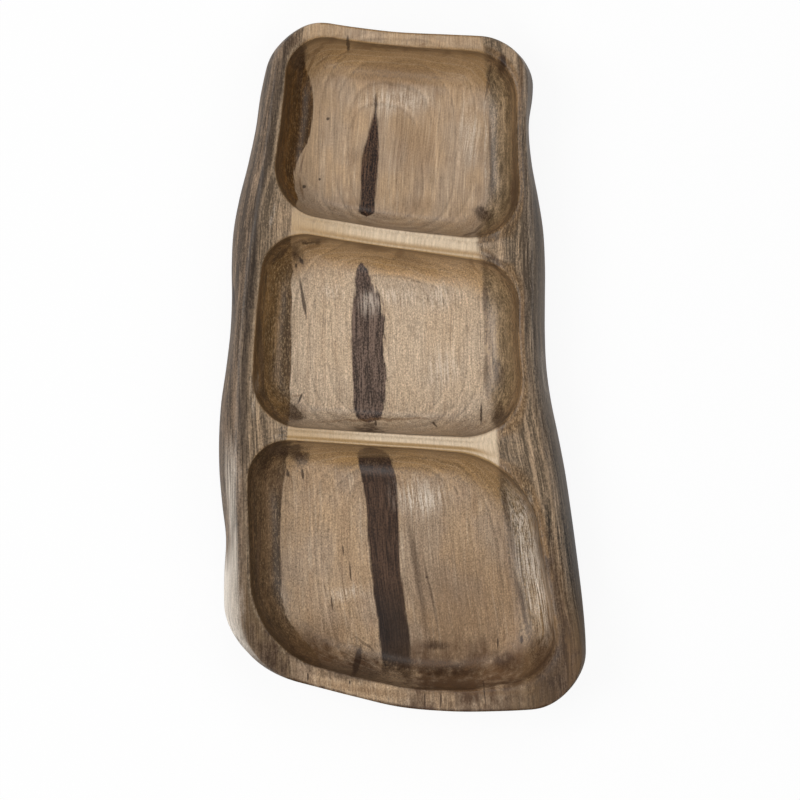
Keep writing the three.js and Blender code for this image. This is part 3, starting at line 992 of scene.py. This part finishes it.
class OiledWood(Finish):
    """Oiled wood: pale in the middle, brown and grey at the sides, with a dark core."""

    def __init__(self):
        super().__init__("oiled_wood")
        place = self.node("ShaderNodeTexCoord", None, None, "Object")
        self.place = self.vector("MULTIPLY", place, (1 / MM,) * 3)
        self.x = self.node("ShaderNodeSeparateXYZ", None, {0: self.place})
        self.y = self.x.also("Y")
        self.z = self.x.also("Z")
        self.zone = self.node("ShaderNodeAttribute", {"attribute_name": "zone"}, None, "Fac")
        self.divider = self.node("ShaderNodeAttribute", {"attribute_name": "divider"}, None, "Fac")
        facing = self.node("ShaderNodeTexCoord", None, None, "Normal")
        self.facing = self.node("ShaderNodeSeparateXYZ", None, {0: facing}, "Y")

        # Straightened place: across the fibres, along them, and up
        self.sway = self.blur(self.place, SWAY_SIZES)
        self.wander = self.blur(self.place, WANDER_SIZES)
        self.core_middle = self.path(self.y, CORE_MIDDLE)
        lean = (self.core_middle - CORE_X) * self.step(self.x, *LEAN_X)
        self.across = self.x - lean + self.sway * 4 + self.wander * 0.5
        fibre = self.join(self.across, self.y, self.z)

        self.broad = self.blur(fibre, BROAD_SIZES)
        self.streak = self.blur(fibre, STREAK_SIZES, 2.0, 0.6)
        self.thread = self.blur(fibre, THREAD_SIZES, 1.0)
        self.speckle = self.blur(self.place, SPECKLE_SIZES, 1.0)
        self.fleck = self.blur(fibre, FLECK_SIZES, 2.0, 0.7)
        self.grit = self.blur(self.place, GRIT_SIZES, 2.0, 0.7)
        self.cloud = self.blur(self.place, CLOUD_SIZES, 3.0)
        self.mottle = self.blur(self.place, MOTTLE_SIZES, 4.0, 0.6)
        self.fine = self.thread * 0.9 + self.speckle * 0.6

    def add_rings(self):
        """Growth rings round a pith far below the dish."""
        beside = self.across - PITH_X
        deep = self.z + PITH_DEPTH
        ring = (beside * beside + deep * deep) ** 0.5
        ring = ring + self.sway * 4 + self.cloud * 3 + self.broad * 1.5
        ring = ring / RING_SPACING % 1
        self.ring_line = self.step(ring, 0.78, 0.95) * self.step(ring, 1.0, 0.97)
        self.ring_glow = self.step(ring, 0.35, 0.5) * self.step(ring, 0.66, 0.52)

    def pale_wood(self):
        """The pale wood of the floors, the dividing walls and the sawn ends, with painted sheen that
        makes the middle hollow paler and greyer.
        """
        x, y, facing = self.x, self.y, self.facing
        # Painted sheen: a mask of the middle hollow, which makes its wood paler and greyer, lights
        # its walls and core, and widens the core's lobes
        self.middle_sheen = self.step(abs(y - MIDDLE_SHEEN_Y), *MIDDLE_SHEEN_REACH)
        pale = self.mix(self.step(self.cloud, -0.12, 0.12), PALE_GOLD, PALE_GREY)
        pale = self.mix(self.middle_sheen * 0.55, pale, PALE_LIGHT)
        pale = self.mix(self.step(self.broad, 0.0, 0.25) * 0.25, pale, PALE_DARK)
        pale = self.mix(self.step(self.streak, 0.03, 0.25) * 0.4, pale, PALE_LIGHT)
        pale = self.mix(self.step(self.streak, -0.05, -0.27) * 0.34, pale, PALE_DARK)
        pale = self.mix(self.step(self.mottle, 0.02, 0.22) * 0.25, pale, PALE_DARK)

        # Walls across the fibres drink more oil and show the rings
        self.end_wall = self.step(abs(facing), *END_WALL_FACING)
        far_wall = self.step(facing, *FAR_WALL_FACING)
        near_wall = self.step(facing, *NEAR_WALL_FACING) * self.step(y, *NEAR_WALL_Y)
        near_wall = near_wall * (self.mottle * 2.4 + self.cloud * 2 + 0.62)
        pale = self.mix(far_wall * (self.cloud * 0.8 + 0.74), pale, WALL_GOLD)
        # Painted sheen lightens the far wall of the middle hollow
        pale = self.shade(pale, far_wall * (self.middle_sheen * 0.22 - 0.02) + 1)
        pale = self.mix(near_wall, pale, BROWN_NEAR)
        near_shade = self.step(facing, *NEAR_SHADE_FACING) * self.step(y, *NEAR_SHADE_Y) * 0.16
        pale = self.shade(pale, 1 - near_shade)
        front_floor = self.step(x, *FRONT_SHADE_X) * self.step(y, *FRONT_SHADE_Y) * 0.08
        pale = self.shade(pale, 1 - front_floor - self.step(y, *FRONT_DIM_Y) * 0.08)
        pale = self.mix(self.ring_line * (self.end_wall * 0.1 + 0.12), pale, PALE_DARK)
        pale = self.mix(self.ring_glow * self.end_wall * 0.14, pale, PALE_LIGHT)

        # Fine closed lines on the floors, which are rougher in the two front hollows
        bent_place = self.join(x + self.sway * 9 + self.wander, y + self.sway * 9, self.z)
        lines = self.closed_lines(bent_place, FLOOR_LINES)
        rough_floor = self.step(y, *ROUGH_Y)
        floor_tone = self.grit * (rough_floor * 1.1 + 0.2) + self.speckle * rough_floor * 0.6
        line_share = self.step(self.cloud, -0.2, 0.1) * 0.13 + 0.04
        return self.shade(pale, 1 - lines * line_share + floor_tone)

    def brown_walls(self):
        """The brown walls at the sides, whose tone changes from the lip down to the pale floor."""
        x, y, streak, mottle, fleck = self.x, self.y, self.streak, self.mottle, self.fleck
        sweep = self.step(y, *SWEEP_Y) * self.step(self.zone, *SWEEP_ZONE)
        left_gap = self.path(y, LEFT_BORDER) - x + sweep * SWEEP_WIDTH
        right_gap = x - self.path(y, RIGHT_BORDER)
        self.ragged = streak * 3 + self.wander * 3
        self.right_side = self.step(x, *RIGHT_SIDE_X)
        self.side = self.step(left_gap - self.ragged, -0.5, 0.5)
        self.side = self.side + self.step(right_gap + self.ragged * 1.5, -1.5, 2.0)
        depth = (self.zone - ZONE_WALL) / (ZONE_FLOOR - ZONE_WALL) + mottle * 0.25 + self.broad * 0.3
        brown = self.mix(
            self.right_side,
            self.ramp(depth, *zip(WALL_STOPS, LEFT_WALL)),
            self.ramp(depth, *zip(WALL_STOPS, RIGHT_WALL)),
        )
        border = self.step(right_gap + self.ragged * 1.5, *BORDER_REACH)
        border = border * self.step(mottle, -0.16, 0.12)
        border = border * (self.step(y, *BORDER_Y) * 0.45 + 0.06)
        brown = self.mix(border * self.right_side, brown, BORDER_GREY)
        greyed = self.step(y, *GREYED_Y) * self.step(depth, 0.05, 0.4) * (1 - self.right_side)
        brown = self.mix(greyed * 0.5, brown, LEFT_GREY)
        golden = self.step(y, *GOLDEN_Y) * self.step(depth, 0.1, 0.4) * (1 - self.right_side)
        brown = self.mix(golden * 0.85, brown, LEFT_GOLD)
        tone_share = self.broad * 2.2 + streak * 1.8 + mottle * 1.6 + fleck * 1.2
        # Painted sheen lightens the walls of the middle hollow
        tone_share = tone_share + self.middle_sheen * 0.18 + self.grit * 2.2 + self.right_side * 0.1
        lip = self.step(y, *SHADED_LIP_Y) * self.step(depth, 0.5, 0.1) * (1 - self.right_side)
        brown = self.shade(brown, self.at_least(tone_share + 0.92, 0.6) - lip * 0.35)
        rough_wall = self.step(y, *ROUGH_Y) * (0.35 - greyed * 0.2) + 0.22
        flecks = self.step(fleck * 1.5 + self.grit * 0.7, 0.0, 0.3) * rough_wall
        brown = self.mix(flecks, brown, FLECK_GOLD)
        return self.mix(self.ring_line * 0.15, brown, BROWN_DARK)

    def grey_sides(self, brown):
        """The grey rim and flanks, whose streaks follow the edge of the log, with a dark line at
        the rim, painted shade on the steep lower flanks and a painted highlight on the front half of
        the left flank. They give way to the brown walls at the lips."""
        y, zone, right_side = self.y, self.zone, self.right_side
        left_gap = self.path(y, LEFT_LINE) - self.x
        line_gap = self.between(right_side, left_gap, self.x - self.path(y, RIGHT_LINE))
        edge = self.join(line_gap + self.sway * 5 + self.wander * 0.6, y, self.z)
        self.band = self.blur(edge, BAND_SIZES)
        self.strand = self.blur(edge, STRAND_SIZES, 3.0, 0.7)
        band, strand = self.band, self.strand
        outer = self.step(line_gap, *OUTER_REACH)
        calm = 1 - outer * right_side * 0.55
        rim_tone = band * 2.8 + strand * 2.8 + self.thread * 1.2 + self.fleck + self.grit * 2.4
        line_gap = line_gap + strand * 4 + band * 4
        sides = self.mix(right_side, FLANK_BROWN, FLANK_GREY)
        sides = self.mix(self.step(line_gap, *FLANK_REACH), RIM_BROWN, sides)
        line = self.step(abs(line_gap), LINE_WIDTHS[0] - right_side * 1.6, LINE_WIDTHS[1])
        line = line * (self.step(y, *LINE_Y) * 0.44 + 0.3) * (1 - right_side * 0.3)
        low_flank = self.step(line_gap, *LOW_FLANK_REACH) * self.step(y, *LOW_FLANK_Y) * right_side
        # Painted shade on the steep lower flanks, plus a brown band that darkens the low right flank
        # and rim
        flank_shade_and_brown = self.step(zone, *FLANK_SHADE_ZONE) * 0.4 + low_flank * 0.36
        sides = self.shade(sides, self.at_least(rim_tone * calm + 0.98, 0.45) - flank_shade_and_brown)
        sides = self.mix(line, sides, LINE_DARK)
        sides = self.mix(self.step(strand + self.fleck * 0.5, 0.06, 0.3) * 0.4, sides, LIP_LIGHT)
        # Painted highlight on the left flank: narrow near the middle, wide towards the front
        wide = self.step(y + strand * 50, *HIGHLIGHT_Y)
        narrow = self.step(zone, *HALF_HIGHLIGHT_ZONE) * self.step(y, *HALF_HIGHLIGHT_Y) * 0.5
        flank_highlight = self.between(wide, narrow, 1) * self.step(zone, *HIGHLIGHT_ZONE)
        flank_highlight = flank_highlight * self.step(self.z, *HIGHLIGHT_Z)
        flank_highlight = flank_highlight * (1 - right_side) * self.step(abs(self.facing), *HIGHLIGHT_FACING)
        sides = self.mix(flank_highlight * (strand * 3 + band * 2 + 0.92), sides, FLANK_HIGHLIGHT)
        return self.mix(self.step(zone + right_side * 0.35, *WALL_ZONE), sides, brown)

    def with_brown_corners(self, colour):
        """Brown, clouded wood towards the front corners."""
        x, y, cloud, mottle = self.x, self.y, self.cloud, self.mottle
        low_right = self.step(x, *LOW_RIGHT_X)
        low_right = low_right * self.step(y + cloud * 24 + mottle * 20, *LOW_RIGHT_Y)
        low_right = low_right * self.step(self.zone, *RIM_ZONE)
        colour = self.mix(low_right * (cloud * 2.2 + mottle * 2.8 + 0.5), colour, BROWN_NEAR)
        right = self.step(x + y * CORNER_SLOPE + self.ragged, *RIGHT_CORNER) * 0.8
        left = self.step(y * CORNER_SLOPE - x + self.ragged, *LEFT_CORNER)
        left = left * self.step(self.zone, *LEFT_CORNER_ZONE) * 0.7
        self.corner_right = right
        corners = (right + left) * (self.strand * 1.6 + self.band * 1.6 + 0.9)
        return self.mix(corners, colour, CORNER_BROWN)

    def with_dark_core(self, colour):
        """The dark core of the log, where the hollows are cut deep enough."""
        y, streak = self.y, self.streak
        core_side = self.x - self.core_middle
        lobes = self.blur(self.place, LOBE_SIZES, 3.0, 0.6)
        core_gap = self.path(y, CORE_HALF_WIDTH) - abs(core_side + self.wander * 1.5)
        lobes_share = self.step(core_side, *CORE_LOBES_REACH) * self.middle_sheen * 8 + 2.5
        core_gap = core_gap + lobes * lobes_share + streak * 2
        core = self.step(core_gap, *CORE_EDGE_REACH) * self.step(self.z, *CORE_Z)
        core = core * self.step(y + streak * 20, *CORE_END_Y)
        core = core * (1 - self.step(abs(y + CORE_BREAK_Y), *CORE_BREAK_REACH) * 0.45)
        tone_share = self.broad * 0.5 + streak * 0.45 + self.thread * 0.9 + self.grit * 1.3
        self.core_tone = self.step(tone_share, -0.22, 0.3)
        core_colour = self.mix(self.core_tone, CORE_DARK, CORE_LIGHT)
        core_colour = self.mix(self.step(y, *CORE_MID_Y) * 0.4, core_colour, CORE_MID)
        # Painted sheen greys the core in the middle hollow
        middle_share = self.middle_sheen * (self.core_tone * 0.5 + 0.15)
        core_colour = self.mix(middle_share, core_colour, CORE_GREY)
        core_colour = self.mix(self.step(y, *CORE_BLUE_Y) * 0.75, core_colour, CORE_BLUE)
        return self.mix(core, colour, core_colour)

    def with_patches(self, colour):
        """Dusky, brown and smoky patches, streaks, knots and checks, with painted sheen as silvery
        patches and painted shade in the corners of the hollows.
        """
        x, y, z, mottle, wander = self.x, self.y, self.z, self.mottle, self.wander
        ragged_place = self.join(x + self.ragged + mottle * 4, y + self.cloud * 8 + mottle * 7, z)
        thin_place = self.join(x + self.streak * 1.5 + wander, y + wander * 4, z)
        dusky = self.step(self.nearest(ragged_place, DUSKY_SPOTS), 1.1, 0.2)
        dusky_share = self.step(y, *DUSKY_FRONT_Y) * 0.24 + self.step(y, *DUSKY_REAR_Y) * 0.22 + 0.25
        colour = self.mix(dusky * dusky_share, colour, BROWN_MIDDLE)
        browned = self.step(self.nearest(thin_place, BROWN_SPOTS) + mottle * 0.8, 1.25, 0.45)
        colour = self.mix(browned * 0.5, colour, BROWN_MIDDLE)
        # Painted sheen: silvery patches, strongest on the front hollow's right wall
        painted_sheen = self.step(self.nearest(ragged_place, PAINTED_SHEEN_SPOTS) + mottle * 0.8, 1.35, 0.1)
        painted_sheen = painted_sheen * (1 - self.step(self.zone, *PAINTED_SHEEN_ZONE) * self.step(z, *PAINTED_SHEEN_Z))
        sheen_tone = self.streak * 1.3 + self.speckle * 0.5 + self.thread * 0.8
        sheen_tone = self.step(sheen_tone, -0.25, 0.25)
        glare = self.right_side * self.step(y, *GLARE_Y) * 0.45
        colour = self.mix(painted_sheen * sheen_tone * (glare + 0.6), colour, PAINTED_SHEEN)
        # Painted shade in the corners of the hollows, and dark mottled patches by the front hollow's
        # near wall
        shade_and_patches = self.nearest(ragged_place, SHADE_AND_PATCH_SPOTS) + mottle * 1.9 + self.fleck * 0.7
        shade_and_patches = self.step(shade_and_patches, 1.3, 0.5)
        colour = self.mix(shade_and_patches * (mottle * 2.4 + 0.6), colour, BROWN_DARK)
        smoky = self.step(self.nearest(ragged_place, SMOKY_SPOTS) + mottle * 1.6, 1.2, 0.45)
        smoke = self.mix(self.core_tone, BROWN_DARK, SMOKE)
        colour = self.mix(smoky * (self.cloud + 0.78), colour, smoke)
        streaky = self.step(self.nearest(thin_place, STREAK_SPOTS), 1.3, 0.55)
        colour = self.mix(streaky * (self.thread + 0.6), colour, smoke)
        spots = self.step(self.nearest(thin_place, DARK_SPOTS), 1.25, 0.7)
        return self.mix(spots * 0.8, colour, SPOT_DARK)

    def with_edges(self, colour):
        """Pale cream tops on the dividers, golden at the left, with painted shade on the side that
        faces the front;
        painted shade as dark lines under the lips, a painted highlight along the left lips, and
        painted light under the lip in the front right corner."""
        x, zone, streak, mottle = self.x, self.zone, self.streak, self.mottle
        top = self.step(zone, *RIDGE_ZONE)
        ridge = self.mix(self.step(x + mottle * 30, *GOLD_RIDGE_X) * 0.7, CREAM, CREAM_GOLD)
        # Painted shade: the side of a divider that faces the front turns golden
        ridge = self.mix(self.step(self.facing, *RIDGE_SHADE_FACING), ridge, CREAM_GOLD)
        ridge = self.shade(ridge, 1 + streak * 0.3)
        ridge_share = self.divider * top * (1 - self.side)
        colour = self.mix(ridge_share * (streak * 0.8 + 0.85), colour, ridge)
        # Painted highlight along the lips of the left walls
        left_lip_highlight = self.step(zone, *LIP_OUTER_ZONE) * self.step(zone, *LIP_INNER_ZONE)
        left_lip_highlight = left_lip_highlight * self.step(x, *LEFT_LIP_X)
        lip_tone = self.step(mottle + self.fleck, -0.05, 0.25)
        colour = self.mix(left_lip_highlight * lip_tone * 0.4, colour, LIP_LIGHT)
        # Painted shade: a dark line just under each lip
        painted_lip_shadow = self.step(zone, *UNDER_LIP_TOP_ZONE) * self.step(zone, *UNDER_LIP_FOOT_ZONE)
        colour = self.mix(painted_lip_shadow * (self.end_wall * 0.25 + 0.12), colour, BROWN_DARK)
        # Painted light that lifts the shade under the lip in the front right corner
        painted_corner_light = self.step(x + self.y * CORNER_SLOPE, *LIT_CORNER)
        painted_corner_light = painted_corner_light * self.step(zone, *LIT_CORNER_ZONE) * 0.4
        return self.shade(colour, 1 + painted_corner_light + self.fine * (1 - ridge_share * 0.6))

    def surface(self, colour):
        """The satin surface, with a fine grain that can be felt, and duller flanks."""
        roughness = self.step(self.zone, *ROUGH_FLANK_ZONE) * 0.25 + 0.37
        roughness = roughness + self.thread * 0.2 + self.speckle * 0.25
        roughness = roughness + self.corner_right * 0.2
        bump = self.node("ShaderNodeBump", None, {
            "Strength": 0.5,
            "Distance": BUMP_DEPTH * MM,
            "Height": self.thread * 0.6 + self.streak * 0.4 + self.speckle * 0.5,
        })
        return self.principled(
            Base_Color=colour, Roughness=roughness, Specular_IOR_Level=0.3, Normal=bump,
        )


def wood_finish():
    """The wood of the whole body, one look laid over the other."""
    wood = OiledWood()
    wood.add_rings()
    pale = wood.pale_wood()
    sides = wood.grey_sides(wood.brown_walls())
    colour = wood.mix(wood.side, pale, sides)
    colour = wood.with_brown_corners(colour)
    colour = wood.with_dark_core(colour)
    colour = wood.with_patches(colour)
    return wood.surface(wood.with_edges(colour))


# Rubber: the sizes of its grain and clouds and the depth of its grain, in millimetres
RUBBER_DARK = tone(36, 32, 30)
RUBBER_LIGHT = tone(50, 45, 42)
RUBBER_GRAIN_SIZE = 0.3
RUBBER_CLOUD_SIZE = 5
RUBBER_BUMP_DEPTH = 0.05


def rubber_finish():
    """Matt dark rubber with a fine grain."""
    rubber = Finish("matt_rubber")
    place = rubber.node("ShaderNodeTexCoord", None, None, "Object")
    place = rubber.vector("MULTIPLY", place, (1 / MM,) * 3)
    grain = rubber.blur(place, (RUBBER_GRAIN_SIZE,) * 3)
    cloud = rubber.blur(place, (RUBBER_CLOUD_SIZE,) * 3)
    colour = rubber.mix(cloud + 0.5, RUBBER_DARK, RUBBER_LIGHT)
    bump = rubber.node("ShaderNodeBump", None, {
        "Strength": 0.3, "Distance": RUBBER_BUMP_DEPTH * MM, "Height": grain,
    })
    return rubber.principled(Base_Color=colour, Roughness=0.72 + grain * 0.15, Normal=bump)


# Studio, in metres
CAMERA_HEIGHT = 1.3
CAMERA_X = -0.0012
CAMERA_Y = -0.01903
PICTURE_PIXELS = 800
FOCAL_PIXELS = 2175.75
SENSOR_WIDTH = 36
FLOOR_SIZE = 12
PAPER_CLOUD_SIZE = 0.4
PAPER_TONES = ((0.9, 0.9, 0.9, 1), (0.92, 0.92, 0.92, 1))
PAPER_GLOW = 0.9
FILL_STRENGTH = 0.1
WHITE = (1, 1, 1, 1)

# Lamps: place, size and power in watts
LAMPS = {
    "left_softbox": ((-1.2, 0.1, 1.6), 1.3, 21),
    "rear_softbox": ((0.1, 1.3, 1.6), 1.2, 9),
    "right_softbox": ((1.3, 0.2, 1.5), 1.2, 9),
    "front_softbox": ((-0.1, -1.4, 1.6), 1.2, 13),
}


def make_camera():
    """Straight above the dish, as the photograph was taken."""
    camera = bpy.data.cameras.new("camera")
    camera.sensor_width = SENSOR_WIDTH
    camera.lens = FOCAL_PIXELS / PICTURE_PIXELS * SENSOR_WIDTH
    holder = put_in_scene("camera", camera)
    holder.location = (CAMERA_X, CAMERA_Y, CAMERA_HEIGHT)
    bpy.context.scene.camera = holder


def make_lamp(name, place, size, power):
    """A round soft box that looks at the dish."""
    lamp = bpy.data.lights.new(name, "AREA")
    lamp.shape = "DISK"
    lamp.size = size
    lamp.energy = power
    holder = put_in_scene(name, lamp)
    holder.location = place
    holder.rotation_euler = (-Vector(place)).to_track_quat("-Z", "Y").to_euler()


def make_floor():
    """White paper. The camera and mirror-like rays see it nearly pure white, with a faint shadow."""
    paper = Finish("white_paper")
    place = paper.node("ShaderNodeTexCoord", None, None, "Object")
    cloud = paper.blur(place, (PAPER_CLOUD_SIZE,) * 3)
    colour = paper.mix(cloud + 0.5, *PAPER_TONES)
    matt = paper.node("ShaderNodeBsdfDiffuse", None, {"Color": colour})
    bright = paper.node("ShaderNodeEmission", None, {"Color": WHITE, "Strength": 1.0})
    rays = paper.node("ShaderNodeLightPath", None, None, "Is Camera Ray")
    seen = rays + rays.also("Is Glossy Ray") + rays.also("Is Transmission Ray")
    surface = paper.node("ShaderNodeMixShader", None, {0: seen * PAPER_GLOW, 1: matt, 2: bright})
    paper.node("ShaderNodeOutputMaterial", None, {"Surface": surface})
    bm = bmesh.new()
    bmesh.ops.create_grid(bm, x_segments=1, y_segments=1, size=FLOOR_SIZE / 2)
    finish_mesh(bm, "floor", paper.owner)


def make_world():
    """Even white light from all round, and pure white where the camera looks past the floor."""
    studio = Finish("studio", bpy.data.worlds)
    seen = studio.node("ShaderNodeLightPath", None, None, "Is Camera Ray")
    strength = studio.node("ShaderNodeMapRange", None, {"Value": seen, "To Min": FILL_STRENGTH})
    light = studio.node("ShaderNodeBackground", None, {"Color": WHITE, "Strength": strength})
    studio.node("ShaderNodeOutputWorld", None, {"Surface": light})
    bpy.context.scene.world = studio.owner


make_camera()
make_world()
for lamp_name, (lamp_place, lamp_size, lamp_power) in LAMPS.items():
    make_lamp(lamp_name, lamp_place, lamp_size, lamp_power)
make_floor()
make_body(wood_finish())
rubber = rubber_finish()
for node_name in sorted(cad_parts):
    if node_name.startswith("foot_pad"):
        make_bumper(node_name, rubber)

bpy.context.scene.view_settings.view_transform = "Standard"
